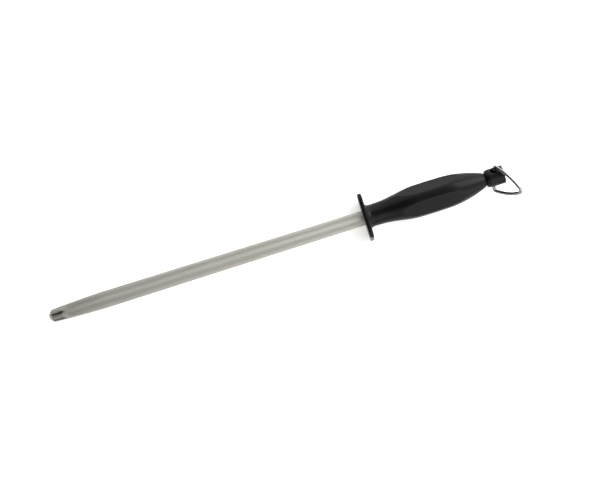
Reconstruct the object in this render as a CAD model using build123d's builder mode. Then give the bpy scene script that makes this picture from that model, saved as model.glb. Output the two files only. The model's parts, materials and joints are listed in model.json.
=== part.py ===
"""Butcher's sharpening steel: a ridged rod with a tang, a moulded handle and a swivelling hanging ring.

Frame: +X runs along the tool from the guard's front face to the handle's end, so the rod points along -X.
+Y is the guard's long direction and +Z is up, off the table. The origin is where the rod's axis crosses the
guard's front face. Millimetres throughout.
"""

import os
from math import cos, hypot, pi, radians, sin, tan

from build123d import *

# --- sharpening rod -------------------------------------------------------------------------------------
ROD_LENGTH = 300.0  # from the tip to the guard's front face
ROD_ROOT_DIA = 13.4  # at the guard
ROD_SWELL_DIA = 15.4  # where the tip starts to narrow
TIP_TAPER_LENGTH = 54.0
TIP_NECK_DIA = 11.4  # at the end of the narrowing
TIP_BULGE = 0.35  # how far the narrowing stands proud of a straight cone
TIP_CONE_LENGTH = 3.0
TIP_FACE_DIA = 5.8  # blunt end of the tip
FLUTE_COUNT = 6
FLUTE_LENGTH = 13.0  # from the tip
FLUTE_DEPTH = 1.5
FLUTE_ANGLE = 70.0  # included angle of the V

# --- tang -------------------------------------------------------------------------------------------------
ROOT_DEPTH = 2.0  # how far the rod's own root goes into the guard
SPIGOT_DIA = 10.0  # seat of the tang in the guard
SPIGOT_END = 9.0  # from the guard's front face
TANG_DIA = 8.0
TANG_TO_WEB = 2.0  # from the thick tang's end to the wall that the nut pulls on
STUB_DIA = 5.0  # threaded end, drawn at its outside diameter

# --- handle moulding --------------------------------------------------------------------------------------
GUARD_THICKNESS = 3.8
GUARD_LENGTH = 42.0  # along Y
GUARD_BEYOND_BELLY = 0.55  # how far the guard's flat sides stand out past the belly
GUARD_CORNER = 7.5
GUARD_EDGE = 0.8
FLARE_MARGIN = 3.0  # from where the grip runs out on the guard to the guard's flat sides
FLARE_SLOPE = (0.5, -1)  # direction in which the grip leaves the guard
HANDLE_LENGTH = 113.8  # from the guard's front face
HANDLE_END_DIA = 12.6
HANDLE_END_ROUND = 0.8
NECK_DIA = 20.5
NECK_AT = 13.4  # from the guard's front face
BELLY_DIA = 29.3
BELLY_LENGTH = 21.5
BELLY_CROWN = 0.1
BELLY_TO_END = 40.8  # from the belly's back end to the handle's end
SHOULDER_TO_END = 27.3
SHOULDER_DROP = 0.8  # radial, from the belly
CONE_BULGE = 0.95
FLAT_COUNT = 4
FLAT_DEPTH = 1.85  # taken off the belly's radius
FLAT_TURN = 45.0  # the first flat's normal, from +Y towards +Z
TANG_CLEARANCE = 0.15  # radial, root, spigot and tang in the handle
REAR_BORE_DIA = 8.8
WEB_TO_END = 25.8  # from the front of the wall that the nut pulls on to the handle's end
WEB_THICKNESS = 4.0

# --- tang nut and its washer ------------------------------------------------------------------------------
THREAD_CLEARANCE = 0.05  # radial, between plain cylinders that stand for threads
BORE_CLEARANCE = 0.3  # radial, parts in the rear bore
TANG_WASHER_THICKNESS = 1.0
NUT_LENGTH = 14.0
NUT_SLOT_WIDTH = 1.2
NUT_SLOT_DEPTH = 1.0
THREAD_GAP = 1.0  # between the tang's end and the swivel screw's end in the nut

# --- swivel -----------------------------------------------------------------------------------------------
THRUST_WASHER_MARGIN = 0.8  # how far the washer stays inside the handle's end
THRUST_WASHER_THICKNESS = 0.6
HEAD_DIA = 16.7
HEAD_LENGTH = 16.5
HEAD_CHAMFER_ALONG = 3.2  # at the handle's side
HEAD_CHAMFER_IN = 0.9
HEAD_CHAMFER_BLEND = 1.2
HEAD_BACK_ROUND = 2.5
HEAD_FLOOR = 3.2  # the wall that the screw holds
CAVITY_CLEARANCE = 0.6  # radial, screw's head in the swivel head
SCREW_SHOULDER_DIA = 6.4
RUNNING_CLEARANCE = 0.08  # radial, screw shoulder in the head
END_PLAY = 0.08  # along the axis, at each face of the head's floor
SCREW_HEAD_DIA = 9.0
SCREW_HEAD_HEIGHT = 1.6
SCREW_SLOT_WIDTH = 1.2
SCREW_SLOT_DEPTH = 0.8
SCREW_WASHER_THICKNESS = 0.5
CAP_SEAT = 0.7  # width of the step that the cap's disc sits on
CAP_THICKNESS = 2.4  # the disc that closes the head
CAP_DOME = 0.4
CAP_DOME_SLOPE = (0.35, -1)  # direction in which the dome leaves the disc's rim
CAP_CLEARANCE = 0.1  # radial
CAP_TO_HOLE = 0.6  # between the cap's plug and the ring's hole

# --- hanging ring -----------------------------------------------------------------------------------------
WIRE_DIA = 3.0
RING_HOLE_CLEARANCE = 1.0  # radial, a loose fit that lets the wire lean
RING_HOLE_MOUTH = 0.5  # chamfer of the hole's mouths
WIRE_TO_SCREW = 1.12  # between the wire and the screw's head
RING_STANDOFF = 7.15  # from the head to each corner beside it, if the corner was sharp
RING_HEIGHT = 31.4  # from the base to the nose, if it was sharp
RING_SIDE_BOW = 3.6  # how far the sides bow out
RING_BASE_CORNER = 3.0  # bend radii on the wire's centre line
RING_SIDE_BEND = 45.0
RING_NOSE_CORNER = 4.4
RING_JOINT_GAP = 0.4  # where the wire's two ends meet, hidden in the head
RING_SLIDE = -1.5  # how far the ring has slid along its hinge
RING_LEAN = 6.0  # the hinge leg's lean in its hole, towards +X at its upper end
RING_TILT = 54.3  # the ring's plane, turned from the tool's axis about its hinge
SWIVEL_TURN = 56.0  # the cross hole, turned from +Y towards +Z

# --- sizes and places that follow -------------------------------------------------------------------------
TIP_X = -ROD_LENGTH
TIP_NECK_X = TIP_X + TIP_CONE_LENGTH
SWELL_X = TIP_X + TIP_TAPER_LENGTH

GUARD_DEPTH = BELLY_DIA + 2 * GUARD_BEYOND_BELLY  # along Z
FLARE_DIA = GUARD_DEPTH - 2 * FLARE_MARGIN
BELLY_TO = HANDLE_LENGTH - BELLY_TO_END
BELLY_FROM = BELLY_TO - BELLY_LENGTH
SHOULDER_AT = HANDLE_LENGTH - SHOULDER_TO_END
SHOULDER_DIA = BELLY_DIA - 2 * SHOULDER_DROP
FLAT_APOTHEM = BELLY_DIA / 2 - FLAT_DEPTH
WEB_START = HANDLE_LENGTH - WEB_TO_END
WEB_END = WEB_START + WEB_THICKNESS

TANG_END = WEB_START - TANG_TO_WEB
NUT_X = WEB_END + TANG_WASHER_THICKNESS
NUT_END = NUT_X + NUT_LENGTH
STUB_END = NUT_X + NUT_LENGTH / 2
SCREW_TIP = STUB_END + THREAD_GAP
REAR_PART_DIA = REAR_BORE_DIA - 2 * BORE_CLEARANCE
THRUST_WASHER_DIA = HANDLE_END_DIA - 2 * THRUST_WASHER_MARGIN

HEAD_X = HANDLE_LENGTH + THRUST_WASHER_THICKNESS + END_PLAY
HEAD_END = HEAD_X + HEAD_LENGTH
FLOOR_END = HEAD_X + HEAD_FLOOR
SCREW_WASHER_X = FLOOR_END + END_PLAY
SCREW_HEAD_X = SCREW_WASHER_X + SCREW_WASHER_THICKNESS
SCREW_END = SCREW_HEAD_X + SCREW_HEAD_HEIGHT
HOLE_DIA = SCREW_SHOULDER_DIA + 2 * RUNNING_CLEARANCE  # what turns or sits on the screw's shoulder
CAVITY_DIA = SCREW_HEAD_DIA + 2 * CAVITY_CLEARANCE
HINGE_X = SCREW_END + WIRE_TO_SCREW + WIRE_DIA / 2
RING_HOLE_DIA = WIRE_DIA + 2 * RING_HOLE_CLEARANCE
RING_BASE = HEAD_DIA + 2 * RING_STANDOFF
CAP_DIA = CAVITY_DIA + 2 * CAP_SEAT
CAP_X = HEAD_END - CAP_THICKNESS
CAP_PLUG_X = HINGE_X + RING_HOLE_DIA / 2 + CAP_TO_HOLE


def square_to_axis(x: float, turn: float = 0.0) -> Plane:
    """A plane square to the tool at x, whose local y points away from the axis at an angle from +Y to +Z."""
    a = radians(turn)
    return Plane(origin=(x, 0, 0), x_dir=(0, sin(a), -cos(a)), z_dir=(1, 0, 0))


def save(piece: Part, name: str) -> None:
    """Name a finished piece and write it to its own file."""
    piece.label = name
    export_step(piece, f"parts/{name}.step")


os.makedirs("parts", exist_ok=True)

# Round pieces are drawn as half sections in the XY plane and turned about X.

# Rod, spigot, tang and threaded stub are one forging.
with BuildPart() as sharpening_rod:
    with BuildSketch(Plane.XY):
        with BuildLine():
            tip_neck = (TIP_NECK_X, TIP_NECK_DIA / 2)
            swell = (SWELL_X, ROD_SWELL_DIA / 2)
            half_way = ((tip_neck[0] + swell[0]) / 2, (tip_neck[1] + swell[1]) / 2 + TIP_BULGE)
            Polyline((TIP_X, 0), (TIP_X, TIP_FACE_DIA / 2), tip_neck)
            ThreePointArc(tip_neck, half_way, swell)
            Polyline(
                swell,
                (0, ROD_ROOT_DIA / 2),
                (ROOT_DEPTH, ROD_ROOT_DIA / 2),
                (ROOT_DEPTH, SPIGOT_DIA / 2),
                (SPIGOT_END, SPIGOT_DIA / 2),
                (SPIGOT_END, TANG_DIA / 2),
                (TANG_END, TANG_DIA / 2),
                (TANG_END, STUB_DIA / 2),
                (STUB_END, STUB_DIA / 2),
                (STUB_END, 0),
                (TIP_X, 0),
            )
        make_face()
    revolve(axis=Axis.X)
    # V flutes in the tip, one in each sector
    flute_bottom = TIP_NECK_DIA / 2 - FLUTE_DEPTH
    flute_reach = 3 * FLUTE_DEPTH
    flute_half_width = flute_reach * tan(radians(FLUTE_ANGLE / 2))
    for i in range(FLUTE_COUNT):
        with BuildSketch(square_to_axis(TIP_X, (i + 0.5) * 360.0 / FLUTE_COUNT)):
            with BuildLine():
                Polyline(
                    (0, flute_bottom),
                    (flute_half_width, flute_bottom + flute_reach),
                    (-flute_half_width, flute_bottom + flute_reach),
                    close=True,
                )
            make_face()
        extrude(amount=FLUTE_LENGTH, mode=Mode.SUBTRACT)
save(sharpening_rod.part, "sharpening_rod")

# Guard and grip are one moulding, with flats on the belly and stepped bores for the tang and the nut.
with BuildPart() as handle:
    with BuildSketch(square_to_axis(0)):
        RectangleRounded(GUARD_DEPTH, GUARD_LENGTH, GUARD_CORNER)
    extrude(amount=GUARD_THICKNESS)
    outline = handle.edges().group_by(Axis.X)
    fillet(outline[0] + outline[-1], GUARD_EDGE)
    with BuildSketch(Plane.XY):
        with BuildLine():
            flare = (GUARD_THICKNESS, FLARE_DIA / 2)
            neck = (NECK_AT, NECK_DIA / 2)
            belly_from = (BELLY_FROM, BELLY_DIA / 2)
            belly_to = (BELLY_TO, BELLY_DIA / 2)
            shoulder = (SHOULDER_AT, SHOULDER_DIA / 2)
            end = (HANDLE_LENGTH, HANDLE_END_DIA / 2)
            crown = ((BELLY_FROM + BELLY_TO) / 2, BELLY_DIA / 2 + BELLY_CROWN)
            cone = ((shoulder[0] + end[0]) / 2, (shoulder[1] + end[1]) / 2 + CONE_BULGE)
            Polyline((GUARD_THICKNESS / 2, 0), (GUARD_THICKNESS / 2, flare[1]), flare)
            Spline(flare, neck, tangents=(FLARE_SLOPE, (1, 0)))
            Spline(neck, belly_from, tangents=((1, 0), (1, 0)))
            ThreePointArc(belly_from, crown, belly_to)
            TangentArc(belly_to, shoulder, tangent=(1, 0))
            ThreePointArc(shoulder, cone, end)
            Polyline(end, (HANDLE_LENGTH, 0), (GUARD_THICKNESS / 2, 0))
        make_face()
    revolve(axis=Axis.X)
    fillet(handle.edges().group_by(Axis.X)[-1], HANDLE_END_ROUND)
    # each flat takes what stands further out than its distance from the axis
    for i in range(FLAT_COUNT):
        with BuildSketch(square_to_axis(NECK_AT, FLAT_TURN + i * 360.0 / FLAT_COUNT)):
            with Locations((0, FLAT_APOTHEM)):
                Rectangle(BELLY_DIA, BELLY_DIA, align=(Align.CENTER, Align.MIN))
        extrude(amount=HANDLE_LENGTH - NECK_AT, mode=Mode.SUBTRACT)
    for start, stop, radius in (
        (0, ROOT_DEPTH, ROD_ROOT_DIA / 2 + TANG_CLEARANCE),
        (0, SPIGOT_END, SPIGOT_DIA / 2 + TANG_CLEARANCE),
        (0, WEB_START, TANG_DIA / 2 + TANG_CLEARANCE),
        (WEB_START, WEB_END, STUB_DIA / 2 + TANG_CLEARANCE),
        (WEB_END, HANDLE_LENGTH, REAR_BORE_DIA / 2),
    ):
        with BuildSketch(square_to_axis(start)):
            Circle(radius)
        extrude(amount=stop - start, mode=Mode.SUBTRACT)
save(handle.part, "handle")

with BuildPart() as tang_washer:
    with BuildSketch(square_to_axis(WEB_END)):
        Circle(REAR_PART_DIA / 2)
        Circle(STUB_DIA / 2 + TANG_CLEARANCE, mode=Mode.SUBTRACT)
    extrude(amount=TANG_WASHER_THICKNESS)
save(tang_washer.part, "tang_washer")

# Long round nut: the tang's stub screws in from the front and the swivel screw from the back.
with BuildPart() as tang_nut:
    with BuildSketch(square_to_axis(NUT_X)):
        Circle(REAR_PART_DIA / 2)
        Circle(STUB_DIA / 2 + THREAD_CLEARANCE, mode=Mode.SUBTRACT)
    extrude(amount=NUT_LENGTH)
    with BuildSketch(square_to_axis(NUT_END)):
        Rectangle(REAR_BORE_DIA, NUT_SLOT_WIDTH)
    extrude(amount=-NUT_SLOT_DEPTH, mode=Mode.SUBTRACT)
save(tang_nut.part, "tang_nut")

with BuildPart() as thrust_washer:
    with BuildSketch(square_to_axis(HANDLE_LENGTH)):
        Circle(THRUST_WASHER_DIA / 2)
        Circle(HOLE_DIA / 2, mode=Mode.SUBTRACT)
    extrude(amount=THRUST_WASHER_THICKNESS)
save(thrust_washer.part, "thrust_washer")

# Shoulder screw: its shoulder stands on the nut and its head keeps the swivel head on.
with BuildPart() as swivel_screw:
    with BuildSketch(Plane.XY):
        with BuildLine():
            Polyline(
                (SCREW_TIP, 0),
                (SCREW_TIP, STUB_DIA / 2),
                (NUT_END, STUB_DIA / 2),
                (NUT_END, SCREW_SHOULDER_DIA / 2),
                (SCREW_HEAD_X, SCREW_SHOULDER_DIA / 2),
                (SCREW_HEAD_X, SCREW_HEAD_DIA / 2),
                (SCREW_END, SCREW_HEAD_DIA / 2),
                (SCREW_END, 0),
                close=True,
            )
        make_face()
    revolve(axis=Axis.X)
    with BuildSketch(square_to_axis(SCREW_END, SWIVEL_TURN)):
        Rectangle(SCREW_HEAD_DIA * 2, SCREW_SLOT_WIDTH)
    extrude(amount=-SCREW_SLOT_DEPTH, mode=Mode.SUBTRACT)
save(swivel_screw.part, "swivel_screw")

with BuildPart() as screw_washer:
    with BuildSketch(square_to_axis(SCREW_WASHER_X)):
        Circle(CAVITY_DIA / 2 - BORE_CLEARANCE)
        Circle(HOLE_DIA / 2, mode=Mode.SUBTRACT)
    extrude(amount=SCREW_WASHER_THICKNESS)
save(screw_washer.part, "screw_washer")

# The cross hole is square to the axis, and the ring's hinge leg leans a little in it.
turn = radians(SWIVEL_TURN)
tilt = radians(RING_TILT)
lean = radians(RING_LEAN)
hinge_point = Vector(HINGE_X, 0, 0)
hole_dir = Vector(0, cos(turn), sin(turn))
hinge_dir = hole_dir * cos(lean) + Vector(1, 0, 0) * sin(lean)
ring_flat_dir = Vector(1, 0, 0) * cos(lean) - hole_dir * sin(lean)
ring_dir = ring_flat_dir * cos(tilt) + Vector(0, -sin(turn), cos(turn)) * sin(tilt)

# Swivel head: a cup whose floor turns between the thrust washer and the screw's washer.
with BuildPart() as swivel_head:
    with BuildSketch(Plane.XY):
        with BuildLine():
            Polyline(
                (HEAD_X, HOLE_DIA / 2),
                (HEAD_X, HEAD_DIA / 2 - HEAD_CHAMFER_IN),
                (HEAD_X + HEAD_CHAMFER_ALONG, HEAD_DIA / 2),
                (HEAD_END, HEAD_DIA / 2),
                (HEAD_END, CAP_DIA / 2 + CAP_CLEARANCE),
                (CAP_X, CAP_DIA / 2 + CAP_CLEARANCE),
                (CAP_X, CAVITY_DIA / 2),
                (FLOOR_END, CAVITY_DIA / 2),
                (FLOOR_END, HOLE_DIA / 2),
                close=True,
            )
        profile = make_face()
        front = profile.vertices().filter_by_position(Axis.X, HEAD_X, HEAD_X + HEAD_CHAMFER_ALONG)
        fillet(front.sort_by(Axis.Y)[-2:], HEAD_CHAMFER_BLEND)
        back = profile.vertices().group_by(Axis.X)[-1]
        fillet(back.sort_by(Axis.Y)[-1], HEAD_BACK_ROUND)
    revolve(axis=Axis.X)
    with BuildSketch(Plane(origin=hinge_point, x_dir=(1, 0, 0), z_dir=hole_dir)):
        Circle(RING_HOLE_DIA / 2)
    extrude(amount=HEAD_DIA, both=True, mode=Mode.SUBTRACT)
    # each mouth opens out as a cone, deep enough to clear the wire's bends
    for way in (1, -1):
        mouth = hinge_point + hole_dir * (way * HEAD_DIA / 2)
        with Locations(Plane(origin=mouth, x_dir=(1, 0, 0), z_dir=hole_dir * way)):
            Cone(
                RING_HOLE_DIA / 2,
                RING_HOLE_DIA / 2 + RING_HOLE_MOUTH,
                RING_HOLE_MOUTH * 2,
                align=(Align.CENTER, Align.CENTER, Align.MAX),
                mode=Mode.SUBTRACT,
            )
save(swivel_head.part, "swivel_head")

# Cap: a disc in the head's back and a plug that grips the cup's wall.
with BuildPart() as end_cap:
    with BuildSketch(Plane.XY):
        with BuildLine():
            Polyline(
                (CAP_PLUG_X, 0),
                (CAP_PLUG_X, CAVITY_DIA / 2 - CAP_CLEARANCE),
                (CAP_X, CAVITY_DIA / 2 - CAP_CLEARANCE),
                (CAP_X, CAP_DIA / 2),
                (HEAD_END, CAP_DIA / 2),
            )
            Spline(
                (HEAD_END, CAP_DIA / 2),
                (HEAD_END + CAP_DOME, 0),
                tangents=(CAP_DOME_SLOPE, (0, -1)),
            )
            Line((HEAD_END + CAP_DOME, 0), (CAP_PLUG_X, 0))
        make_face()
    revolve(axis=Axis.X)
save(end_cap.part, "end_cap")

# Ring: one bent wire whose ends meet inside the head.
with BuildPart() as hanging_ring:
    ring_plane = Plane(
        origin=hinge_point + hinge_dir * RING_SLIDE,
        x_dir=hinge_dir,
        z_dir=hinge_dir.cross(ring_dir),
    )
    side_length = hypot(RING_BASE / 2, RING_HEIGHT)
    bow_across = RING_BASE / 4 + RING_SIDE_BOW * RING_HEIGHT / side_length
    bow_along = RING_HEIGHT / 2 + RING_SIDE_BOW * RING_BASE / 2 / side_length
    with BuildLine(ring_plane) as wire_path:
        FilletPolyline(
            (RING_JOINT_GAP / 2 - RING_SLIDE, 0),
            (RING_BASE / 2, 0),
            (bow_across, bow_along),
            (0, RING_HEIGHT),
            (-bow_across, bow_along),
            (-RING_BASE / 2, 0),
            (-RING_JOINT_GAP / 2 - RING_SLIDE, 0),
            radius=[RING_BASE_CORNER, RING_SIDE_BEND, RING_NOSE_CORNER, RING_SIDE_BEND, RING_BASE_CORNER],
        )
    with BuildSketch(Plane(origin=wire_path.line @ 0, z_dir=wire_path.line % 0)):
        Circle(WIRE_DIA / 2)
    sweep(path=wire_path.line)
save(hanging_ring.part, "hanging_ring")
wire_length = sum(edge.length for edge in wire_path.edges())
wire_volume = wire_length * pi * WIRE_DIA**2 / 4
print(f"ring: wire {wire_length:.1f} mm long, volume ratio {hanging_ring.part.volume / wire_volume:.4f}")
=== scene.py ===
"""Looks of a butcher's sharpening steel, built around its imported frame.

The rod, the handle and the hanging ring are new pieces, each in the place of its plain solid. The other
solids keep their shapes and get finishes. Sizes are in millimetres until a mesh is finished, and the axes
are the frame's: X runs along the tool towards the handle's end, and Z is up.
"""

import json
import logging
import math
from dataclasses import dataclass
from enum import Enum
from typing import Any, Callable

import bmesh
import bpy
from mathutils import Matrix, Vector


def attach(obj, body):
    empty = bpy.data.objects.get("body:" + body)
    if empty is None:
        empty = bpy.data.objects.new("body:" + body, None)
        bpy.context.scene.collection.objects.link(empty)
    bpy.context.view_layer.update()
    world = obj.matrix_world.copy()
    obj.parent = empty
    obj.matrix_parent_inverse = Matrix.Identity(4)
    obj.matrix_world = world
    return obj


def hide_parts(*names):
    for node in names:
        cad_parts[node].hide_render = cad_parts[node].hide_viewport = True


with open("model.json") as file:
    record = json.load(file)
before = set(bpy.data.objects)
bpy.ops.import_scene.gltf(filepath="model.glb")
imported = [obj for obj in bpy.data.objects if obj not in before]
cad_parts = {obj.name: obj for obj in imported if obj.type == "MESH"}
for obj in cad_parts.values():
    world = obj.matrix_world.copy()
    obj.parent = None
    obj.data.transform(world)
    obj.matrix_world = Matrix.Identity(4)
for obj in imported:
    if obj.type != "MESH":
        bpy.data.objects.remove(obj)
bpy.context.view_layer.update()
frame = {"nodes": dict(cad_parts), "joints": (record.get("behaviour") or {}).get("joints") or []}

LOG = logging.getLogger("sharpening_steel")
MM = 0.001
SHARP_EDGE = math.radians(38)
WELD = 1e-4  # points nearer than this become one, in millimetres
HUB_REACH = 0.5  # a unit circle's points lie beyond this, and its hub within it
Point = tuple[float, float]
Scale = tuple[float, float, float]
RadiusRule = Callable[[float], float]


class Body(Enum):
    """The frame's moving groups."""

    TOOL = "tool"
    SWIVEL = "swivel"
    RING = "ring"


class Slot(Enum):
    """The record's material slots."""

    ROD = "rod_steel"
    HANDLE = "handle_plastic"
    HEAD = "head_plastic"
    WASHER = "washer_plastic"
    HARDWARE = "hardware_steel"
    RING = "ring_chrome"


# --- curves in the half plane through the axis ----------------------------------------------------------


def arc_through(start: Point, middle: Point, end: Point, steps: int) -> list[Point]:
    """Points of the arc from start to end by way of middle, without its first point.

    Args:
        start: The arc's first point.
        middle: A point on the arc.
        end: The arc's last point.
        steps: How many points to return.

    Returns:
        The points in order, the last one at end.
    """
    (ax, ay), (bx, by), (cx, cy) = start, middle, end
    d = 2 * (ax * (by - cy) + bx * (cy - ay) + cx * (ay - by))
    a2, b2, c2 = ax * ax + ay * ay, bx * bx + by * by, cx * cx + cy * cy
    ux = (a2 * (by - cy) + b2 * (cy - ay) + c2 * (ay - by)) / d
    uy = (a2 * (cx - bx) + b2 * (ax - cx) + c2 * (bx - ax)) / d
    radius = math.hypot(ax - ux, ay - uy)
    first = math.atan2(ay - uy, ax - ux)
    sweep = math.remainder(math.atan2(cy - uy, cx - ux) - first, math.tau)
    angles = [first + sweep * i / steps for i in range(1, steps + 1)]
    return [(ux + radius * math.cos(a), uy + radius * math.sin(a)) for a in angles]


def sweep_between(start: Point, end: Point, leaving: Point, arriving: Point, steps: int) -> list[Point]:
    """Points of a smooth curve with given end directions, without its first point.

    Args:
        start: The curve's first point.
        end: The curve's last point.
        leaving: Direction at start.
        arriving: Direction at end.
        steps: How many points to return.

    Returns:
        The points in order, the last one at end.
    """
    reach = math.dist(start, end)
    out = [c * reach / math.hypot(*leaving) for c in leaving]
    into = [c * reach / math.hypot(*arriving) for c in arriving]
    points = []
    for i in range(1, steps + 1):
        t = i / steps
        h0 = 2 * t**3 - 3 * t**2 + 1
        h1 = t**3 - 2 * t**2 + t
        h2 = t**3 - t**2
        mix = (h0 * start[k] + h1 * out[k] + (1 - h0) * end[k] + h2 * into[k] for k in (0, 1))
        points.append(tuple(mix))
    return points


def line_to(start: Point, end: Point, steps: int) -> list[Point]:
    """Evenly spaced points from start to end, without the first."""
    return [tuple(a + (b - a) * i / steps for a, b in zip(start, end)) for i in range(1, steps + 1)]


def soft_least(a: float, b: float, blend: float) -> float:
    """The smaller of a and b, with the corner between them rounded over about the length blend."""
    h = max(blend - abs(a - b), 0.0) / blend
    return min(a, b) - h * h * blend / 4


# --- mesh builders ----------------------------------------------------------------------------------------


def outer_loop(made: list[Any]) -> tuple[list[bmesh.types.BMVert], list[bmesh.types.BMEdge]]:
    """Pick the new loop out of what an operator made.

    Args:
        made: Points, edges and faces in the operator's order.

    Returns:
        The loop's points, and the edges between them.
    """
    loop = [g for g in made if isinstance(g, bmesh.types.BMVert)]
    own = set(loop)
    edges = dict.fromkeys(e for v in loop for e in v.link_edges)
    return loop, [e for e in edges if e.verts[0] in own and e.verts[1] in own]


class Skin:
    """A closed skin about the tool's axis, drawn loop by loop by extruding its open rim."""

    def __init__(self, segments: int) -> None:
        """Start with no loops.

        Args:
            segments: Points in each loop.
        """
        self.bm = bmesh.new()
        self.segments = segments
        self.rim: list[bmesh.types.BMEdge] = []

    def begin(self, x: float, radius: RadiusRule, capped: bool) -> list[bmesh.types.BMEdge]:
        """Draw the first loop.

        Args:
            x: The loop's place along the axis.
            radius: The loop's radius at an angle from +Y towards +Z.
            capped: Whether the loop is filled.

        Returns:
            The loop's edges.
        """
        square = Matrix.Rotation(math.pi / 2, 4, "Y")
        made = bmesh.ops.create_circle(
            self.bm, cap_ends=capped, cap_tris=capped, radius=1.0, segments=self.segments, matrix=square
        )
        loop = [v for v in made["verts"] if math.hypot(v.co.y, v.co.z) > HUB_REACH]
        ends = set(loop)
        self.rim = [e for e in self.bm.edges if e.verts[0] in ends and e.verts[1] in ends]
        self._place(loop, x, radius)
        for hub in (v for v in made["verts"] if v not in ends):
            hub.co = Vector((x, 0, 0))
        return list(self.rim)

    def grow(self, x: float, radius: RadiusRule) -> None:
        """Extrude the rim to its next place and size.

        Args:
            x: The new loop's place along the axis.
            radius: The new loop's radius at an angle from +Y towards +Z.
        """
        grown = bmesh.ops.extrude_edge_only(self.bm, edges=self.rim)
        loop, self.rim = outer_loop(grown["geom"])
        self._place(loop, x, radius)

    def cap(self) -> None:
        """Fill the rim with a fan."""
        filled = bmesh.ops.edgeloop_fill(self.bm, edges=self.rim)
        bmesh.ops.poke(self.bm, faces=filled["faces"])

    def bridge(self, first: list[bmesh.types.BMEdge]) -> None:
        """Join the rim to the first loop."""
        bmesh.ops.bridge_loops(self.bm, edges=list(first) + list(self.rim))

    @staticmethod
    def _place(loop: Any, x: float, radius: RadiusRule) -> None:
        """Put a loop's points at x, each at the radius for its angle."""
        for v in loop:
            angle = math.atan2(v.co.z, v.co.y)
            r = radius(angle)
            v.co = Vector((x, r * math.cos(angle), r * math.sin(angle)))


class WireBender:
    """A round wire that is run forward and bent in one plane, as on a bending jig."""

    def __init__(self, at: Vector, heading: Vector, square: Vector, thickness: float, segments: int) -> None:
        """Cut the wire's first end.

        Args:
            at: Centre of the first end.
            heading: The direction in which the wire runs.
            square: Normal of the plane in which it is bent.
            thickness: The wire's diameter.
            segments: Points round the wire.
        """
        self.bm = bmesh.new()
        self.at = at.copy()
        self.heading = heading.normalized()
        self.square = square.normalized()
        turn = Vector((0, 0, 1)).rotation_difference(self.heading).to_matrix().to_4x4()
        bmesh.ops.create_circle(
            self.bm,
            cap_ends=True,
            cap_tris=True,
            radius=thickness / 2,
            segments=segments,
            matrix=Matrix.Translation(self.at) @ turn,
        )
        self.rim = [e for e in self.bm.edges if len(e.link_faces) == 1]

    def run(self, length: float, steps: int) -> None:
        """Run the wire straight on by length, in that many steps."""
        for _ in range(steps):
            grown = bmesh.ops.extrude_edge_only(self.bm, edges=self.rim)
            loop, self.rim = outer_loop(grown["geom"])
            bmesh.ops.translate(self.bm, verts=loop, vec=self.heading * (length / steps))
        self.at += self.heading * length

    def bend(self, radius: float, angle: float, steps: int) -> None:
        """Bend the wire round.

        Args:
            radius: Radius of the bend on the wire's centre line.
            angle: How far the heading turns about the plane's normal, in radians.
            steps: How many loops the bend takes.
        """
        inward = self.square.cross(self.heading) * math.copysign(radius, angle)
        centre = self.at + inward
        verts = list(dict.fromkeys(v for e in self.rim for v in e.verts))
        spun = bmesh.ops.spin(
            self.bm,
            geom=verts + self.rim,
            cent=centre,
            axis=self.square,
            angle=angle,
            steps=steps,
            use_duplicate=False,
        )
        self.rim = outer_loop(spun["geom_last"])[1]
        turn = Matrix.Rotation(angle, 3, self.square)
        self.at = centre - turn @ inward
        self.heading = turn @ self.heading

    def cut(self) -> None:
        """Close the wire's far end."""
        filled = bmesh.ops.edgeloop_fill(self.bm, edges=self.rim)
        bmesh.ops.poke(self.bm, faces=filled["faces"])


def finish_mesh(bm: bmesh.types.BMesh, name: str, material: bpy.types.Material) -> bpy.types.Object:
    """Turn a finished bmesh into a piece in metres.

    Args:
        bm: The mesh in millimetres, which is freed.
        name: The piece's name.
        material: Its material.

    Returns:
        The piece, at the origin.
    """
    bmesh.ops.remove_doubles(bm, verts=bm.verts, dist=WELD)
    bmesh.ops.recalc_face_normals(bm, faces=bm.faces)
    bmesh.ops.scale(bm, verts=bm.verts, vec=Vector((MM, MM, MM)))
    for face in bm.faces:
        face.smooth = True
    for edge in bm.edges:
        edge.smooth = edge.calc_face_angle(0.0) < SHARP_EDGE
    mesh = bpy.data.meshes.new(name)
    bm.to_mesh(mesh)
    bm.free()
    mesh.materials.append(material)
    piece = bpy.data.objects.new(name, mesh)
    bpy.context.scene.collection.objects.link(piece)
    LOG.info("%s: %d faces", name, len(mesh.polygons))
    return piece


# --- finishes ---------------------------------------------------------------------------------------------


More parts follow.
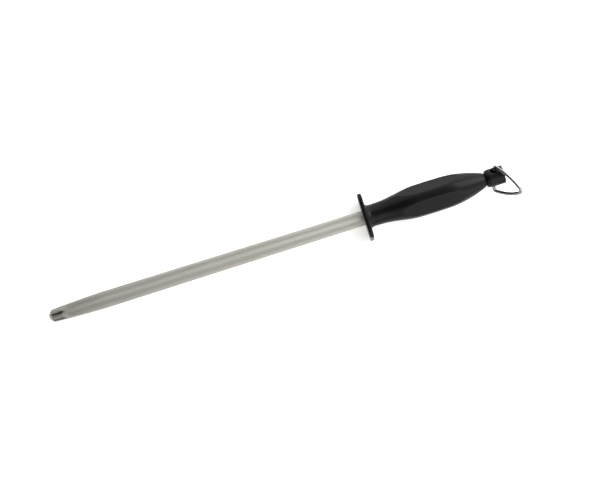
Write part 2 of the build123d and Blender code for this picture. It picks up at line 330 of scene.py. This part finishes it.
class Graph:
    """A material's node tree, with short ways to add and join nodes."""

    def __init__(self, name: str) -> None:
        """Make an empty material with a Principled shader.

        Args:
            name: The material's name.
        """
        self.material = bpy.data.materials.new(name)
        self.material.use_nodes = True
        self.tree = self.material.node_tree
        self.tree.nodes.clear()
        output = self.add("ShaderNodeOutputMaterial")
        self.shader = self.add("ShaderNodeBsdfPrincipled")
        self.join(self.shader.outputs["BSDF"], output.inputs["Surface"])
        self.place = self.add("ShaderNodeTexCoord").outputs["Object"]

    def add(self, kind: str, inputs: dict[Any, Any] | None = None, **settings: Any) -> bpy.types.Node:
        """Add a node.

        Args:
            kind: Its type.
            inputs: Values for its input sockets, by name or number; a socket is joined.
            settings: Its own settings.

        Returns:
            The node.
        """
        node = self.tree.nodes.new(kind)
        for key, value in settings.items():
            setattr(node, key, value)
        for key, value in (inputs or {}).items():
            if isinstance(value, bpy.types.NodeSocket):
                self.join(value, node.inputs[key])
            else:
                node.inputs[key].default_value = value
        return node

    def join(self, source: bpy.types.NodeSocket, target: bpy.types.NodeSocket) -> None:
        """Link two sockets."""
        self.tree.links.new(source, target)

    def noise(self, scale: Scale, detail: float = 3.0) -> bpy.types.NodeSocket:
        """Noise whose number of features per metre differs by axis.

        Args:
            scale: Features per metre along X, Y and Z.
            detail: Octaves.

        Returns:
            The noise's strength.
        """
        stretched = self.add("ShaderNodeMapping", {"Vector": self.place, "Scale": scale})
        made = self.add(
            "ShaderNodeTexNoise", {"Vector": stretched.outputs["Vector"], "Scale": 1.0, "Detail": detail}
        )
        return made.outputs["Fac"]

    def ranged(self, value: bpy.types.NodeSocket, span: Point, result: Point = (0.0, 1.0)) -> Any:
        """Map a value from a span to a result range, held at its ends."""
        inputs = {"Value": value, "From Min": span[0], "From Max": span[1]}
        inputs |= {"To Min": result[0], "To Max": result[1]}
        return self.add("ShaderNodeMapRange", inputs, clamp=True).outputs["Result"]

    def mixed(self, share: bpy.types.NodeSocket, first: Any, second: Any) -> bpy.types.NodeSocket:
        """Mix two colours, all first where share is 0 and all second where it is 1."""
        made = self.add("ShaderNodeMix", {0: share, 6: first, 7: second}, data_type="RGBA")
        return made.outputs[2]

    def maths(self, operation: str, first: bpy.types.NodeSocket, second: Any) -> bpy.types.NodeSocket:
        """Join two values by an operation."""
        return self.add("ShaderNodeMath", {0: first, 1: second}, operation=operation).outputs[0]

    def bump(self, height: bpy.types.NodeSocket, depth: float) -> None:
        """Raise the surface by a height from 0 to 1, times depth in metres."""
        made = self.add("ShaderNodeBump", {"Height": height, "Strength": 1.0, "Distance": depth})
        self.join(made.outputs["Normal"], self.shader.inputs["Normal"])

    def from_axis(self) -> bpy.types.NodeSocket:
        """Distance from the tool's axis, in metres."""
        flat = self.add("ShaderNodeVectorMath", {0: self.place, 1: (0.0, 1.0, 1.0)}, operation="MULTIPLY")
        length = self.add("ShaderNodeVectorMath", {0: flat.outputs["Vector"]}, operation="LENGTH")
        return length.outputs["Value"]


def grey(level: float, warmth: float = 0.0, green_share: float = 0.6) -> tuple[float, float, float, float]:
    """A warm grey.

    Args:
        level: Its level.
        warmth: How far red is raised and blue lowered, as a share of the level.
        green_share: How far green is raised, as a share of the warmth.

    Returns:
        Red, green, blue and alpha.
    """
    return (level * (1 + warmth), level * (1 + green_share * warmth), level * (1 - warmth), 1.0)


@dataclass(frozen=True)
class RidgedSteel:
    """Ground steel with streaks along the rod, a smooth tip, and painted shade darkening the bottoms of the
    tip's flutes.
    """

    tip: float  # the tip's place along the axis
    level: float = 0.34
    warmth: float = 0.05
    roughness: float = 0.55
    roughness_spread: Point = (-0.06, 0.08)
    edge_tint: float = 0.08
    streaks: Scale = (14.0, 900.0, 900.0)
    streak_dark: float = 0.84
    clouds: Scale = (22.0, 60.0, 60.0)
    cloud_dark: float = 0.8
    cloud_share: float = 0.35
    fine: Scale = (60.0, 5200.0, 5200.0)
    fine_depth: float = 0.012 * MM
    smooth_stretch: Point = (12.5 * MM, 14.0 * MM)  # from the tip, where the ridges come in
    smooth_light: float = 1.15
    smooth_share: float = 0.65  # of the ridged roughness
    # painted shade in the tip's flutes: how deep it starts, where along it starts, how dark and how warm it
    # is
    flute_shade_depth: Point = (4.3 * MM, 5.5 * MM)  # from the axis; the painted shade darkens the flutes deeper than this
    flute_shade_start: Point = (2.8 * MM, 3.8 * MM)  # from the tip; the painted shade in the flutes begins here
    flute_shade_dark: float = 0.2
    flute_shade_warmth: float = 0.2

    def build(self) -> bpy.types.Material:
        """Make the material.

        Returns:
            The material.
        """
        g = Graph("ridged_steel")
        streaks = g.noise(self.streaks, 4.0)
        clouds = g.noise(self.clouds, 2.0)
        along = g.add("ShaderNodeSeparateXYZ", {0: g.place}).outputs["X"]
        from_tip = g.maths("SUBTRACT", along, self.tip)
        ridged = g.ranged(from_tip, self.smooth_stretch)

        dark, plain = grey(self.level * self.streak_dark, self.warmth), grey(self.level, self.warmth)
        tone = g.mixed(g.ranged(streaks, (0.3, 0.7)), dark, plain)
        cloudy = g.ranged(clouds, (0.45, 0.75), (0.0, self.cloud_share))
        stained = g.mixed(cloudy, tone, grey(self.level * self.cloud_dark, self.warmth * 2))
        ground = g.mixed(ridged, grey(self.level * self.smooth_light, self.warmth), stained)
        # painted shade: the flutes' bottoms are darkened, except within a few millimetres of the tip's face
        shallow = g.ranged(g.from_axis(), self.flute_shade_depth)
        unshaded_near_face = g.ranged(from_tip, self.flute_shade_start, (1.0, 0.0))
        unshaded = g.maths("MAXIMUM", shallow, unshaded_near_face)
        flute_shade = grey(self.level * self.flute_shade_dark, self.flute_shade_warmth)
        g.join(g.mixed(unshaded, flute_shade, ground), g.shader.inputs["Base Color"])

        smoothest, roughest = (self.roughness + spread for spread in self.roughness_spread)
        rough = g.ranged(streaks, (0.25, 0.75), (smoothest, roughest))
        smoother = g.ranged(ridged, (0.0, 1.0), (self.smooth_share, 1.0))
        g.join(g.maths("MULTIPLY", rough, smoother), g.shader.inputs["Roughness"])
        g.shader.inputs["Metallic"].default_value = 1.0
        g.shader.inputs["Specular Tint"].default_value = grey(self.edge_tint)
        g.bump(g.noise(self.fine, 2.0), self.fine_depth)
        return g.material


@dataclass(frozen=True)
class MouldedPlastic:
    """Satin plastic with a fine moulded grain, faint rubbed patches and hair scratches."""

    name: str
    level: float
    roughness: float
    roughness_spread: float = 0.05
    shine: float = 0.1
    grain: float = 1900.0
    grain_depth: float = 0.02 * MM
    patches: Scale = (55.0, 90.0, 90.0)
    patch_light: float = 1.35
    patch_warmth: float = 0.02
    hairs: Scale = (160.0, 2600.0, 900.0)
    hair_light: float = 2.4
    hair_share: float = 0.5

    def build(self) -> bpy.types.Material:
        """Make the material.

        Returns:
            The material.
        """
        g = Graph(self.name)
        rubbed = g.noise(self.patches, 4.0)
        worn = grey(self.level * self.patch_light, self.patch_warmth)
        tone = g.mixed(g.ranged(rubbed, (0.35, 0.7)), grey(self.level), worn)
        scratch = g.ranged(g.noise(self.hairs, 2.0), (0.66, 0.72), (0.0, self.hair_share))
        g.join(g.mixed(scratch, tone, grey(self.level * self.hair_light)), g.shader.inputs["Base Color"])
        dull, bright = self.roughness + self.roughness_spread, self.roughness - self.roughness_spread
        g.join(g.ranged(rubbed, (0.3, 0.75), (dull, bright)), g.shader.inputs["Roughness"])
        g.shader.inputs["Specular IOR Level"].default_value = self.shine
        g.bump(g.noise((self.grain, self.grain, self.grain), 2.0), self.grain_depth)
        return g.material


@dataclass(frozen=True)
class BrightMetal:
    """Plated or turned metal with fine lines and a little tarnish."""

    name: str
    level: float
    roughness: float
    warmth: float = 0.0
    dulled_by: float = 0.12
    edge_tint: float = 1.0
    lines: Scale = (3200.0, 3200.0 / 6, 3200.0)
    line_depth: float = 0.003 * MM
    spots: Scale = (380.0, 380.0, 380.0)
    tarnish: float = 0.7
    tarnish_warmth: float = 0.03

    def build(self) -> bpy.types.Material:
        """Make the material.

        Returns:
            The material.
        """
        g = Graph(self.name)
        spots = g.noise(self.spots, 4.0)
        tarnished = grey(self.level * self.tarnish, self.warmth + self.tarnish_warmth)
        tone = g.mixed(g.ranged(spots, (0.52, 0.7)), grey(self.level, self.warmth), tarnished)
        g.join(tone, g.shader.inputs["Base Color"])
        rough = g.ranged(spots, (0.4, 0.75), (self.roughness, self.roughness + self.dulled_by))
        g.join(rough, g.shader.inputs["Roughness"])
        g.shader.inputs["Metallic"].default_value = 1.0
        g.shader.inputs["Specular Tint"].default_value = grey(self.edge_tint)
        g.bump(g.noise(self.lines, 2.0), self.line_depth)
        return g.material


@dataclass(frozen=True)
class PaleBoard:
    """The matt white board that the tool lies on, which glows a little so that shadows stay faint."""

    level: float = 0.62
    warmth: float = 0.012
    mottle: Scale = (9.0, 9.0, 9.0)
    mottle_dark: float = 0.985
    roughness: float = 0.9
    glow: float = 0.5
    glow_warmth: float = 0.01

    def build(self) -> bpy.types.Material:
        """Make the material.

        Returns:
            The material.
        """
        g = Graph("pale_board")
        colours = grey(self.level, self.warmth), grey(self.level * self.mottle_dark, self.warmth)
        mottle = g.ranged(g.noise(self.mottle, 3.0), (0.3, 0.7))
        g.join(g.mixed(mottle, *colours), g.shader.inputs["Base Color"])
        g.shader.inputs["Roughness"].default_value = self.roughness
        g.shader.inputs["Emission Color"].default_value = grey(1.0, self.glow_warmth)
        g.shader.inputs["Emission Strength"].default_value = self.glow
        return g.material


# --- the object's pieces ----------------------------------------------------------------------------------


@dataclass
class SharpeningRod:
    """The steel: a rod with fine ridges along it, a narrowing fluted tip, and its tang."""

    length: float = 300.0
    root_dia: float = 13.4
    swell_dia: float = 15.4
    taper_length: float = 54.0
    neck_dia: float = 11.4
    taper_bulge: float = 0.35
    cone_length: float = 3.0
    face_dia: float = 5.8
    edge_round: float = 0.35
    ridges: int = 96
    ridge_depth: float = 0.11
    ridges_from: float = 15.0  # from the tip
    ridges_fade: float = 4.0
    flutes: int = 6
    flute_length: float = 11.4
    flute_runout: float = 3.4
    flute_depth: float = 1.5
    flute_angle: float = 70.0
    flute_edge: float = 0.16
    flute_out: Point = (1.6, 1.2)  # how far up the runout goes, in depths, and how far along, in runouts
    root: Point = (13.4, 2.0)  # diameters and ends of the root, the spigot, the tang and its thread
    spigot: Point = (10.0, 9.0)
    tang: Point = (8.0, 86.0)
    stub: Point = (5.0, 100.0)
    points_per_ridge: int = 4
    edge_steps: int = 2
    cone_steps: int = 6
    taper_steps: int = 60
    body_steps: int = 28

    def profile(self) -> list[Point]:
        """The outside from the tip's face to the stub's end.

        Returns:
            Places along the axis and radii, in order.
        """
        tip = -self.length
        face = (tip, self.face_dia / 2 - self.edge_round)
        cone = (tip + self.edge_round, self.face_dia / 2)
        neck = (tip + self.cone_length, self.neck_dia / 2)
        swell = (tip + self.taper_length, self.swell_dia / 2)
        half_way = ((neck[0] + swell[0]) / 2, (neck[1] + swell[1]) / 2 + self.taper_bulge)
        points = [face] + line_to(face, cone, self.edge_steps) + line_to(cone, neck, self.cone_steps)
        points += arc_through(neck, half_way, swell, self.taper_steps)
        points += line_to(swell, (0.0, self.root_dia / 2), self.body_steps)
        for diameter, end in (self.root, self.spigot, self.tang, self.stub):
            points += [(points[-1][0], diameter / 2), (end, diameter / 2)]
        return points

    def radius_rule(self, x: float, outside: float) -> RadiusRule:
        """How the radius changes round the rod at x.

        Args:
            x: Place along the axis.
            outside: Radius there before ridges and flutes are cut.

        Returns:
            The rule from angle to radius.
        """
        from_tip = x + self.length
        ridged = min(max((from_tip - self.ridges_from) / self.ridges_fade, 0.0), 1.0)
        past = max(from_tip - self.flute_length, 0.0) / self.flute_runout
        rise, last = self.flute_out
        bottom = self.neck_dia / 2 - self.flute_depth + past * past * self.flute_depth * rise
        slope = 1 / math.tan(math.radians(self.flute_angle / 2))
        sector = math.tau / self.flutes

        def rule(angle: float) -> float:
            """Radius at an angle."""
            off = abs(math.remainder(angle - sector / 2, sector))
            reach = math.cos(off) - math.sin(off) * slope
            cut = bottom / reach if reach * outside > bottom / 2 and past < last else outside * 2
            groove = 0.5 - 0.5 * math.cos(self.ridges * angle)
            return soft_least(outside, cut, self.flute_edge) - ridged * self.ridge_depth * groove

        return rule

    def build(self, material: bpy.types.Material) -> bpy.types.Object:
        """Make the rod and put it in its solid's place.

        Args:
            material: Its finish.

        Returns:
            The piece.
        """
        skin = Skin(self.ridges * self.points_per_ridge)
        points = self.profile()
        skin.begin(points[0][0], self.radius_rule(*points[0]), capped=True)
        for x, radius in points[1:]:
            plain = x > 0
            skin.grow(x, (lambda angle, r=radius: r) if plain else self.radius_rule(x, radius))
        skin.cap()
        piece = finish_mesh(skin.bm, "ridged_rod", material)
        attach(piece, Body.TOOL.value)
        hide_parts("sharpening_rod")
        return piece


@dataclass
class Handle:
    """Guard and grip in one moulding, with four long flats round the belly."""

    guard_thickness: float = 3.8
    guard_length: float = 42.0
    guard_depth: float = 30.4
    guard_corner: float = 7.5
    guard_edge: float = 0.8
    flare: Point = (3.8, 12.2)  # places along the axis and radii
    flare_slope: Point = (0.5, -1.0)
    neck: Point = (13.4, 10.25)
    belly_from: Point = (51.5, 14.65)
    belly_to: Point = (73.0, 14.65)
    belly_crown: float = 0.1
    shoulder: Point = (86.5, 13.85)
    end: Point = (113.8, 6.3)
    cone_bulge: float = 0.95
    end_round: float = 0.8
    end_round_in: float = 0.64
    flats: int = 4
    flat_apothem: float = 12.8
    flat_turn: float = 45.0
    flat_edge: float = 0.14
    root_bore: Point = (6.85, 2.0)  # radii and ends of the bore's steps
    spigot_bore: Point = (5.15, 9.0)
    tang_bore: Point = (4.15, 88.0)
    stub_bore: Point = (2.65, 92.0)
    rear_bore: float = 4.4
    segments: int = 288
    edge_steps: int = 5
    flare_steps: int = 16
    rise_steps: int = 44
    belly_steps: int = 10
    shoulder_steps: int = 12
    cone_steps: int = 26

    def guard_rule(self, inset: float) -> RadiusRule:
        """The guard's outline, inset by a distance.

        Args:
            inset: How far in from the full outline.

        Returns:
            The rule from angle to radius.
        """
        half_y = self.guard_length / 2 - inset
        half_z = self.guard_depth / 2 - inset
        corner = max(self.guard_corner - inset, 0.5)

        def rule(angle: float) -> float:
            """Radius at an angle."""
            c, s = abs(math.cos(angle)), abs(math.sin(angle))
            straight = min(half_y / max(c, 1e-9), half_z / max(s, 1e-9))
            cy, cz = half_y - corner, half_z - corner
            if straight * c > cy and straight * s > cz:
                along = cy * c + cz * s
                return along + math.sqrt(max(along * along - cy * cy - cz * cz + corner * corner, 0.0))
            return straight

        return rule

    def grip_rule(self, radius: float, flatted: bool) -> RadiusRule:
        """The grip's section, a circle or a circle with flats.

        Args:
            radius: The circle's radius.
            flatted: Whether the flats are cut.

        Returns:
            The rule from angle to radius.
        """
        pitch = math.tau / self.flats
        first = math.radians(self.flat_turn)

        def rule(angle: float) -> float:
            """Radius at an angle."""
            if not flatted:
                return radius
            off = math.remainder(angle - first, pitch)
            return soft_least(radius, self.flat_apothem / math.cos(off), self.flat_edge)

        return rule

    def grip_profile(self) -> list[Point]:
        """The grip's outside from the guard to the end, before the flats are cut.

        Returns:
            Places along the axis and radii, in order.
        """
        level = (1.0, 0.0)
        end = self.end
        crown = ((self.belly_from[0] + self.belly_to[0]) / 2, self.belly_from[1] + self.belly_crown)
        run = self.shoulder[0] - self.belly_to[0]
        drop = self.belly_to[1] - self.shoulder[1]
        bend = (run * run + drop * drop) / (2 * drop)
        half = (self.belly_to[0] + run / 2, self.belly_to[1] - bend + math.sqrt(bend * bend - run * run / 4))
        cone = ((self.shoulder[0] + end[0]) / 2, (self.shoulder[1] + end[1]) / 2 + self.cone_bulge)
        points = sweep_between(self.flare, self.neck, self.flare_slope, level, self.flare_steps)
        points += sweep_between(self.neck, self.belly_from, level, level, self.rise_steps)
        points += arc_through(self.belly_from, crown, self.belly_to, self.belly_steps)
        points += arc_through(self.belly_to, half, self.shoulder, self.shoulder_steps)
        rear = arc_through(self.shoulder, cone, end, self.cone_steps)
        return points + [p for p in rear if p[0] < end[0] - self.end_round]

    def build(self, material: bpy.types.Material) -> bpy.types.Object:
        """Make the handle and put it in its solid's place.

        Args:
            material: Its finish.

        Returns:
            The piece.
        """
        skin = Skin(self.segments)
        first = skin.begin(0.0, self.grip_rule(self.root_bore[0], False), capped=False)
        quarter = [math.pi / 2 * i / self.edge_steps for i in range(self.edge_steps + 1)]
        edge = self.guard_edge
        rounds = [(edge * (1 - math.cos(a)), edge * (1 - math.sin(a))) for a in quarter]
        for x, inset in rounds:
            skin.grow(x, self.guard_rule(inset))
        for x, inset in reversed(rounds):
            skin.grow(self.guard_thickness - x, self.guard_rule(inset))
        skin.grow(self.flare[0], self.grip_rule(self.flare[1], False))
        for x, radius in self.grip_profile():
            skin.grow(x, self.grip_rule(radius, x > self.neck[0]))
        for a in quarter:
            x = self.end[0] - self.end_round * (1 - math.sin(a))
            skin.grow(x, self.grip_rule(self.end[1] - self.end_round_in * (1 - math.cos(a)), False))
        steps = (self.stub_bore, self.tang_bore, self.spigot_bore, self.root_bore)
        bores = [(self.rear_bore, self.stub_bore[1])]
        bores += [(wide[0], narrow[1]) for wide, narrow in zip(steps, steps[1:])]
        at = self.end[0]
        for radius, end in bores:
            skin.grow(at, self.grip_rule(radius, False))
            skin.grow(end, self.grip_rule(radius, False))
            at = end
        skin.grow(at, self.grip_rule(self.root_bore[0], False))
        skin.bridge(first)
        piece = finish_mesh(skin.bm, "moulded_handle", material)
        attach(piece, Body.TOOL.value)
        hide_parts("handle")
        return piece


@dataclass
class HangingRing:
    """The wire ring, bent from one end to the other about its hinge."""

    wire_dia: float = 3.0
    base: float = 31.0  # between its two corners at the head, if they were sharp
    height: float = 31.4
    side_bow: float = 3.6
    base_bend: float = 3.0
    side_bend: float = 45.0
    nose_bend: float = 4.4
    joint_gap: float = 0.4
    slide: float = -1.5
    tilt: float = 54.3
    segments: int = 40
    leg_steps: int = 3
    bend_steps: tuple[int, int] = (6, 9)  # at least, and more for each radian

    def corners(self) -> list[Vector]:
        """The wire's path in its own plane, with sharp corners.

        Returns:
            The path's points from end to end.
        """
        side = math.hypot(self.base / 2, self.height)
        across = self.base / 4 + self.side_bow * self.height / side
        along = self.height / 2 + self.side_bow * self.base / 2 / side
        gap = self.joint_gap / 2
        points = [(gap - self.slide, 0), (self.base / 2, 0), (across, along), (0, self.height)]
        points += [(-across, along), (-self.base / 2, 0), (-gap - self.slide, 0)]
        return [Vector((*p, 0.0)) for p in points]

    def build(self, material: bpy.types.Material) -> bpy.types.Object:
        """Make the ring and put it in its solid's place.

        Args:
            material: Its finish.

        Returns:
            The piece.
        """
        joint = next(j for j in frame["joints"] if j["child"] == Body.RING.value)
        hinge = Vector(joint["axis"]).normalized()
        tool = Vector((1.0, 0.0, 0.0))
        flat = (tool - hinge * tool.dot(hinge)).normalized()
        out = Matrix.Rotation(math.radians(-self.tilt), 3, hinge) @ flat
        square = hinge.cross(out)
        plane = Matrix((hinge, out, square)).transposed()
        origin = Vector(joint["pos_m"]) / MM + hinge * self.slide
        path = self.corners()
        bends = [self.base_bend, self.side_bend, self.nose_bend, self.side_bend, self.base_bend]
        legs = [b - a for a, b in zip(path, path[1:])]
        turns = [math.atan2(a.cross(b).z, a.dot(b)) for a, b in zip(legs, legs[1:])]
        used = [abs(math.tan(turn / 2)) * radius for turn, radius in zip(turns, bends)]
        wire = WireBender(origin + plane @ path[0], plane @ legs[0], square, self.wire_dia, self.segments)
        for i, leg in enumerate(legs):
            before = used[i - 1] if i else 0.0
            after = used[i] if i < len(used) else 0.0
            wire.run(leg.length - before - after, self.leg_steps)
            if i < len(turns):
                least, more = self.bend_steps
                wire.bend(bends[i], turns[i], least + int(abs(turns[i]) * more))
        wire.cut()
        piece = finish_mesh(wire.bm, "wire_ring", material)
        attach(piece, Body.RING.value)
        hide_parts("hanging_ring")
        return piece


@dataclass
class CarriedPieces:
    """The solids whose shapes stay, each with the finish of its slot."""

    head: tuple[str, ...] = ("swivel_head", "end_cap")
    washer: tuple[str, ...] = ("thrust_washer",)
    hardware: tuple[str, ...] = ("tang_washer", "tang_nut", "swivel_screw", "screw_washer")

    def dress(self, materials: dict[Slot, bpy.types.Material]) -> None:
        """Give each solid its finish.

        Args:
            materials: The finish of each slot.
        """
        groups = {Slot.HEAD: self.head, Slot.WASHER: self.washer, Slot.HARDWARE: self.hardware}
        for slot, names in groups.items():
            for name in names:
                mesh = frame["nodes"][name].data
                mesh.materials.clear()
                mesh.materials.append(materials[slot])
                LOG.info("%s: finish %s", name, slot.value)


# --- surroundings -----------------------------------------------------------------------------------------


@dataclass(frozen=True)
class Lamp:
    """A square soft light over the board that points at the tool, in metres and watts."""

    name: str
    at: Point
    height: float
    size: float
    power: float

    def hang(self) -> None:
        """Put the light in the scene."""
        lamp = bpy.data.lights.new(self.name, "AREA")
        lamp.shape = "SQUARE"
        lamp.size = self.size
        lamp.energy = self.power
        light = bpy.data.objects.new(self.name, lamp)
        light.location = (*self.at, self.height)
        light.rotation_euler = (-light.location).to_track_quat("-Z", "Y").to_euler()
        bpy.context.scene.collection.objects.link(light)


@dataclass
class Studio:
    """The board, the lights and the camera."""

    lamps: tuple[Lamp, ...] = (
        Lamp("key", (1.1, 0.3), 1.05, 1.2, 25.0),
        Lamp("front", (0.2, -1.3), 1.0, 1.6, 16.0),
        Lamp("back", (0.1, 1.3), 1.0, 1.6, 14.0),
    )
    sky: tuple[float, float, float, float] = (1.0, 0.995, 0.98, 1.0)
    sky_by_height: tuple[Point, Point] = ((0.1, 0.95), (1.15, 0.35))  # a span of Z and the strengths there
    sky_by_side: tuple[Point, Point] = ((-0.4, 0.5), (0.05, 2.9))  # a span of X and the strengths there
    board_size: float = 9.0
    board_gap: float = 0.05
    guard_foot: Point = (3.8, -15.2)  # where the tool touches the board: x and z
    rod_foot: Point = (-246.0, -7.7)
    focal_length: float = 60.0
    sensor: float = 36.0
    camera_foot: float = -25.0
    camera_distance: float = 904.8
    camera_rise: float = -1.7
    camera_height_angle: float = 80.0
    camera_swing: float = 2.27
    camera_roll: float = 17.5

    def lay_board(self, material: bpy.types.Material) -> None:
        """Put the board under the guard and the rod.

        Args:
            material: Its finish.
        """
        (gx, gz), (rx, rz) = self.guard_foot, self.rod_foot
        slope = (rz - gz) / (rx - gx)
        bm = bmesh.new()
        bmesh.ops.create_grid(bm, x_segments=4, y_segments=4, size=self.board_size / 2)
        for v in bm.verts:
            v.co.z = (gz - gx * slope - self.board_gap) * MM + v.co.x * slope
        mesh = bpy.data.meshes.new("board")
        bm.to_mesh(mesh)
        bm.free()
        mesh.materials.append(material)
        board = bpy.data.objects.new("board", mesh)
        bpy.context.scene.collection.objects.link(board)

    def surround(self) -> None:
        """Light everything from a pale surround, dark on the rod's side and bright on the handle's."""
        world = bpy.data.worlds.new("studio")
        bpy.context.scene.world = world
        world.use_nodes = True
        nodes, links = world.node_tree.nodes, world.node_tree.links
        nodes.clear()
        output = nodes.new("ShaderNodeOutputWorld")
        background = nodes.new("ShaderNodeBackground")
        place = nodes.new("ShaderNodeTexCoord")
        parts = nodes.new("ShaderNodeSeparateXYZ")
        height = nodes.new("ShaderNodeMapRange")
        height.interpolation_type = "SMOOTHSTEP"
        side = nodes.new("ShaderNodeMapRange")
        side.interpolation_type = "SMOOTHSTEP"
        product = nodes.new("ShaderNodeMath")
        product.operation = "MULTIPLY"
        for node, (span, strengths) in ((height, self.sky_by_height), (side, self.sky_by_side)):
            for name, value in zip(("From Min", "From Max", "To Min", "To Max"), span + strengths):
                node.inputs[name].default_value = value
        links.new(place.outputs["Generated"], parts.inputs[0])
        links.new(parts.outputs["Z"], height.inputs["Value"])
        links.new(parts.outputs["X"], side.inputs["Value"])
        links.new(height.outputs[0], product.inputs[0])
        links.new(side.outputs[0], product.inputs[1])
        links.new(product.outputs[0], background.inputs["Strength"])
        background.inputs["Color"].default_value = self.sky
        links.new(background.outputs[0], output.inputs["Surface"])

    def set_camera(self) -> None:
        """Put the camera almost straight over the tool, turned so that the rod rises to the right."""
        e = math.radians(self.camera_height_angle)
        swing = math.radians(self.camera_swing)
        roll = math.radians(self.camera_roll)
        forward = Vector((0, math.cos(e), -math.sin(e))) * math.cos(swing) + Vector((-math.sin(swing), 0, 0))
        level = Vector((1, 0, 0))
        level = (level - forward * level.dot(forward)).normalized()
        upward = level.cross(forward)
        right = level * math.cos(roll) - upward * math.sin(roll)
        up = upward * math.cos(roll) + level * math.sin(roll)
        at = Vector((self.camera_foot, 0, 0))
        at += Vector((0, -math.cos(e), math.sin(e))) * self.camera_distance
        at += Vector((0, math.sin(e), math.cos(e))) * self.camera_rise
        lens = bpy.data.cameras.new("camera")
        lens.lens = self.focal_length
        lens.sensor_width = self.sensor
        camera = bpy.data.objects.new("camera", lens)
        turn = Matrix((right, up, -forward)).transposed().to_4x4()
        camera.matrix_world = Matrix.Translation(at * MM) @ turn
        bpy.context.scene.collection.objects.link(camera)
        bpy.context.scene.camera = camera

    def build(self) -> None:
        """Set up the board, the lights, the camera and plain colour handling."""
        self.lay_board(PaleBoard().build())
        self.surround()
        for lamp in self.lamps:
            lamp.hang()
        self.set_camera()
        bpy.context.scene.view_settings.view_transform = "Standard"


def main() -> None:
    """Build the pieces in order and dress the solids that stay."""
    rod = SharpeningRod()
    materials = {
        Slot.ROD: RidgedSteel(tip=-rod.length * MM).build(),
        Slot.HANDLE: MouldedPlastic("handle_plastic", 0.0022, 0.27).build(),
        Slot.HEAD: MouldedPlastic("head_plastic", 0.0028, 0.27, grain=2600.0).build(),
        Slot.WASHER: MouldedPlastic("washer_plastic", 0.008, 0.5).build(),
        Slot.HARDWARE: BrightMetal("turned_steel", 0.55, 0.32, 0.02).build(),
        Slot.RING: BrightMetal("polished_wire", 0.24, 0.16, 0.0, tarnish=0.85, edge_tint=0.0).build(),
    }
    rod.build(materials[Slot.ROD])
    Handle().build(materials[Slot.HANDLE])
    HangingRing().build(materials[Slot.RING])
    CarriedPieces().dress(materials)
    Studio().build()


if __name__ == "__main__":
    logging.basicConfig(level=logging.INFO)
    main()
